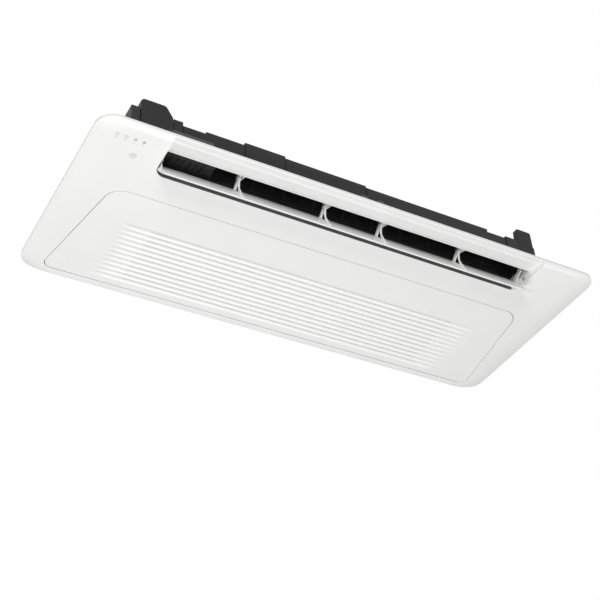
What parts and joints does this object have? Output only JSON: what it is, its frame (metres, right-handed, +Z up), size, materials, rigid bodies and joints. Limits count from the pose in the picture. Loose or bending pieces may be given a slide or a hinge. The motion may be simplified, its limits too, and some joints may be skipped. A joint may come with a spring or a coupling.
{
  "type": "one-way ceiling cassette air conditioner",
  "caption": "Indoor air conditioner recessed in a ceiling: flat panel with a hinged intake grille, one slot air outlet with a turning blade, cross-flow fan, coil and drain.",
  "frame": {"origin": "middle of the panel's outline in the ceiling plane", "axes": "+X along the unit towards the pipe side, -Y towards the air outlet, +Y towards the intake grille's hinge, +Z up into the ceiling void"},
  "size_m": [1.198, 0.5, 0.1921],
  "materials": {
    "panel_white": "moulded, fine satin",
    "duct_white": "moulded, satin",
    "lens": "translucent, smooth",
    "light_guide": "translucent, smooth",
    "chassis_dark": "moulded foam shell, matt",
    "base_dark": "matt coated sheet",
    "fan_black": "moulded, satin",
    "rubber_black": "matt",
    "filter_dark": "netting in a moulded frame",
    "sheet_steel": "galvanised",
    "motor_steel": "matt",
    "fin_aluminium": "thin fins",
    "copper_tube": "drawn copper",
    "nut_brass": "machined",
    "board_green": "printed circuit board",
    "pan_white": "moulded"
  },
  "bodies": {
    "chassis": {"front_panel": "panel_white", "light_guide": "light_guide", "display_board": "board_green", "outlet_frame": "duct_white", "blade_pin_1": "sheet_steel", "blade_pin_2": "sheet_steel", "blade_pin_3": "sheet_steel", "blade_pin_4": "sheet_steel", "blade_motor": "motor_steel", "scroll_guide": "fan_black", "stabiliser": "fan_black", "fan_end_plate_left": "fan_black", "fan_end_plate_right": "fan_black", "bearing_holder": "rubber_black", "fan_bearing": "nut_brass", "fan_motor": "motor_steel", "motor_bracket": "sheet_steel", "motor_cover": "fan_black", "housing": "chassis_dark", "base_plate": "base_dark", "top_plate": "sheet_steel", "hanger_left_near": "sheet_steel", "hanger_left_far": "sheet_steel", "hanger_right_near": "sheet_steel", "hanger_right_far": "sheet_steel", "control_cover": "base_dark", "control_board": "board_green", "terminal_block": "rubber_black", "cable_gland": "fan_black", "coil_fins": "fin_aluminium", "coil_bends_left": "copper_tube", "coil_bends_right": "copper_tube", "gas_pipe": "copper_tube", "gas_flare_nut": "nut_brass", "liquid_pipe": "copper_tube", "liquid_flare_nut": "nut_brass", "drain_pan": "pan_white", "drain_pump": "fan_black", "drain_socket": "pan_white", "float_switch": "fan_black", "intake_seal": "rubber_black", "panel_screw_1": "sheet_steel", "panel_screw_2": "sheet_steel", "panel_screw_3": "sheet_steel", "panel_screw_4": "sheet_steel"},
    "blade": {"airflow_blade": "panel_white", "blade_lever_left": "fan_black", "blade_lever_right": "fan_black", "blade_drive_shaft": "sheet_steel"},
    "grille": {"intake_grille": "panel_white", "grille_hinge_pin_left": "sheet_steel", "grille_hinge_pin_right": "sheet_steel", "air_filter": "filter_dark"},
    "fan": {"cross_flow_fan": "fan_black", "motor_shaft": "sheet_steel", "fan_stub_shaft": "sheet_steel"},
    "button": {"receiver_button": "lens"},
    "latch_left": {"latch_plunger_left": "duct_white"},
    "latch_right": {"latch_plunger_right": "duct_white"},
    "water_float": {"float": "pan_white"}
  },
  "joints": [
    {"name": "blade_swing", "type": "hinge", "parent": "chassis", "child": "blade", "pos_m": [0, -0.172, 0.02], "axis": [1, 0, 0], "range_deg": [-52, 0]},
    {"name": "grille_hinge", "type": "hinge", "parent": "chassis", "child": "grille", "pos_m": [0, 0.219, -0.009], "axis": [1, 0, 0], "range_deg": [0, 80]},
    {"name": "fan_spin", "type": "hinge", "parent": "chassis", "child": "fan", "pos_m": [0, -0.095, 0.082], "axis": [1, 0, 0], "continuous": true},
    {"name": "button_press", "type": "slide", "parent": "chassis", "child": "button", "axis": [0, 0, 1], "range_m": [0, 0.0012], "stiffness_N_per_m": 400},
    {"name": "latch_left_press", "type": "slide", "parent": "chassis", "child": "latch_left", "axis": [0, 0, 1], "range_m": [0, 0.003], "stiffness_N_per_m": 500},
    {"name": "latch_right_press", "type": "slide", "parent": "chassis", "child": "latch_right", "axis": [0, 0, 1], "range_m": [0, 0.003], "stiffness_N_per_m": 500},
    {"name": "float_rise", "type": "slide", "parent": "chassis", "child": "water_float", "axis": [0, 0, 1], "range_m": [0, 0.012]}
  ]
}
